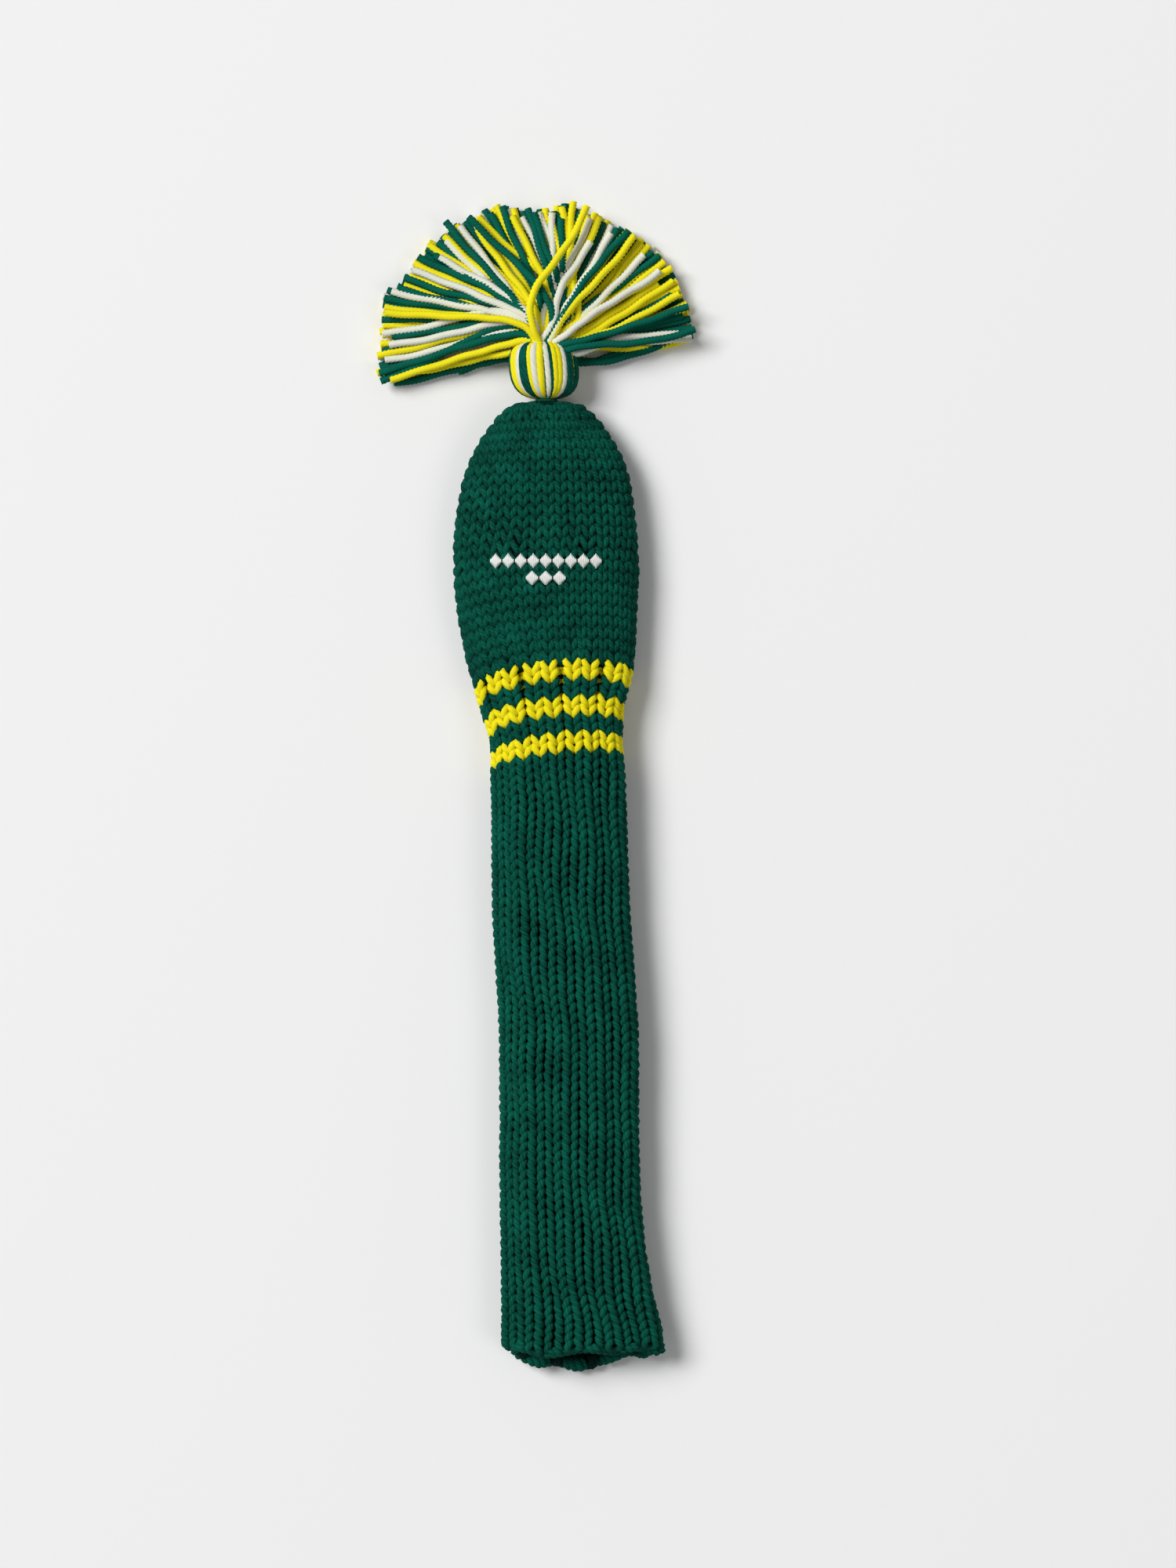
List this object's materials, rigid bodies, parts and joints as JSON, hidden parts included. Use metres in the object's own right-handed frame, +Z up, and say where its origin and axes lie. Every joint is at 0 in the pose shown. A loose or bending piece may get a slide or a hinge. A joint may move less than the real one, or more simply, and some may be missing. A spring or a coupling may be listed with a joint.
{
  "type": "golf driver head cover",
  "caption": "Knitted sock for a golf driver: domed head, striped neck, long ribbed sleeve and a tassel of cut yarn that flops at the crown.",
  "frame": {"origin": "under the middle of the bounding box, on the surface that the cover lies on", "axes": "+Y along the cover from the sleeve's mouth to the tassel, +X to its right, +Z up through its front wall"},
  "size_m": [0.1335, 0.4803, 0.0255],
  "materials": {
    "green_wool": "four-ply worsted wool, matt",
    "yellow_wool": "four-ply worsted wool, matt",
    "white_wool": "four-ply worsted wool, matt",
    "white_thread": "mercerised embroidery thread, soft sheen"
  },
  "bodies": {
    "head": {"anchor_knot": "green_wool", "crown_gather_thread": "green_wool", "embroidery_long_row": "white_thread", "embroidery_short_row": "white_thread", "head_panel": "green_wool", "lower_neck_band": "green_wool", "lower_stripe_band": "yellow_wool", "middle_stripe_band": "yellow_wool", "upper_neck_band": "green_wool", "upper_stripe_band": "yellow_wool"},
    "sleeve": {"ribbed_sleeve": "green_wool", "cuff_edge": "green_wool"},
    "tassel_link": {"anchor_cord": "green_wool"},
    "tassel": {"neck_tie": "green_wool", "skirt_back_01_yellow": "yellow_wool", "skirt_back_02_green": "green_wool", "skirt_back_03_white": "white_wool", "skirt_back_04_green": "green_wool", "skirt_back_05_yellow": "yellow_wool", "skirt_back_06_white": "white_wool", "skirt_back_07_green": "green_wool", "skirt_back_08_yellow": "yellow_wool", "skirt_back_09_green": "green_wool", "skirt_front_01_green": "green_wool", "skirt_front_02_yellow": "yellow_wool", "skirt_front_03_white": "white_wool", "skirt_front_04_yellow": "yellow_wool", "skirt_front_05_white": "white_wool", "skirt_front_06_green": "green_wool", "skirt_front_07_white": "white_wool", "skirt_front_08_green": "green_wool", "skirt_front_09_yellow": "yellow_wool", "tassel_core": "white_wool", "tassel_head_01_green": "green_wool", "tassel_head_02_white": "white_wool", "tassel_head_03_yellow": "yellow_wool", "tassel_head_04_green": "green_wool", "tassel_head_05_yellow": "yellow_wool", "tassel_head_06_white": "white_wool", "tassel_head_07_green": "green_wool", "tassel_head_08_yellow": "yellow_wool", "tassel_head_09_white": "white_wool", "tassel_head_10_green": "green_wool", "tassel_head_11_white": "white_wool", "tassel_head_12_yellow": "yellow_wool"}
  },
  "joints": [
    {"name": "neck_fold", "type": "hinge", "parent": "head", "child": "sleeve", "pos_m": [0.0092, 0.0131, 0.0231], "axis": [-1, 0, 0], "range_deg": [0, 90]},
    {"name": "tassel_swing", "type": "hinge", "parent": "head", "child": "tassel_link", "pos_m": [0.0047, 0.1584, 0.011], "axis": [0, 0, 1], "range_deg": [-22, 22]},
    {"name": "tassel_lift", "type": "hinge", "parent": "tassel_link", "child": "tassel", "pos_m": [0.0047, 0.1584, 0.011], "axis": [1, 0, 0], "range_deg": [0, 45]}
  ]
}
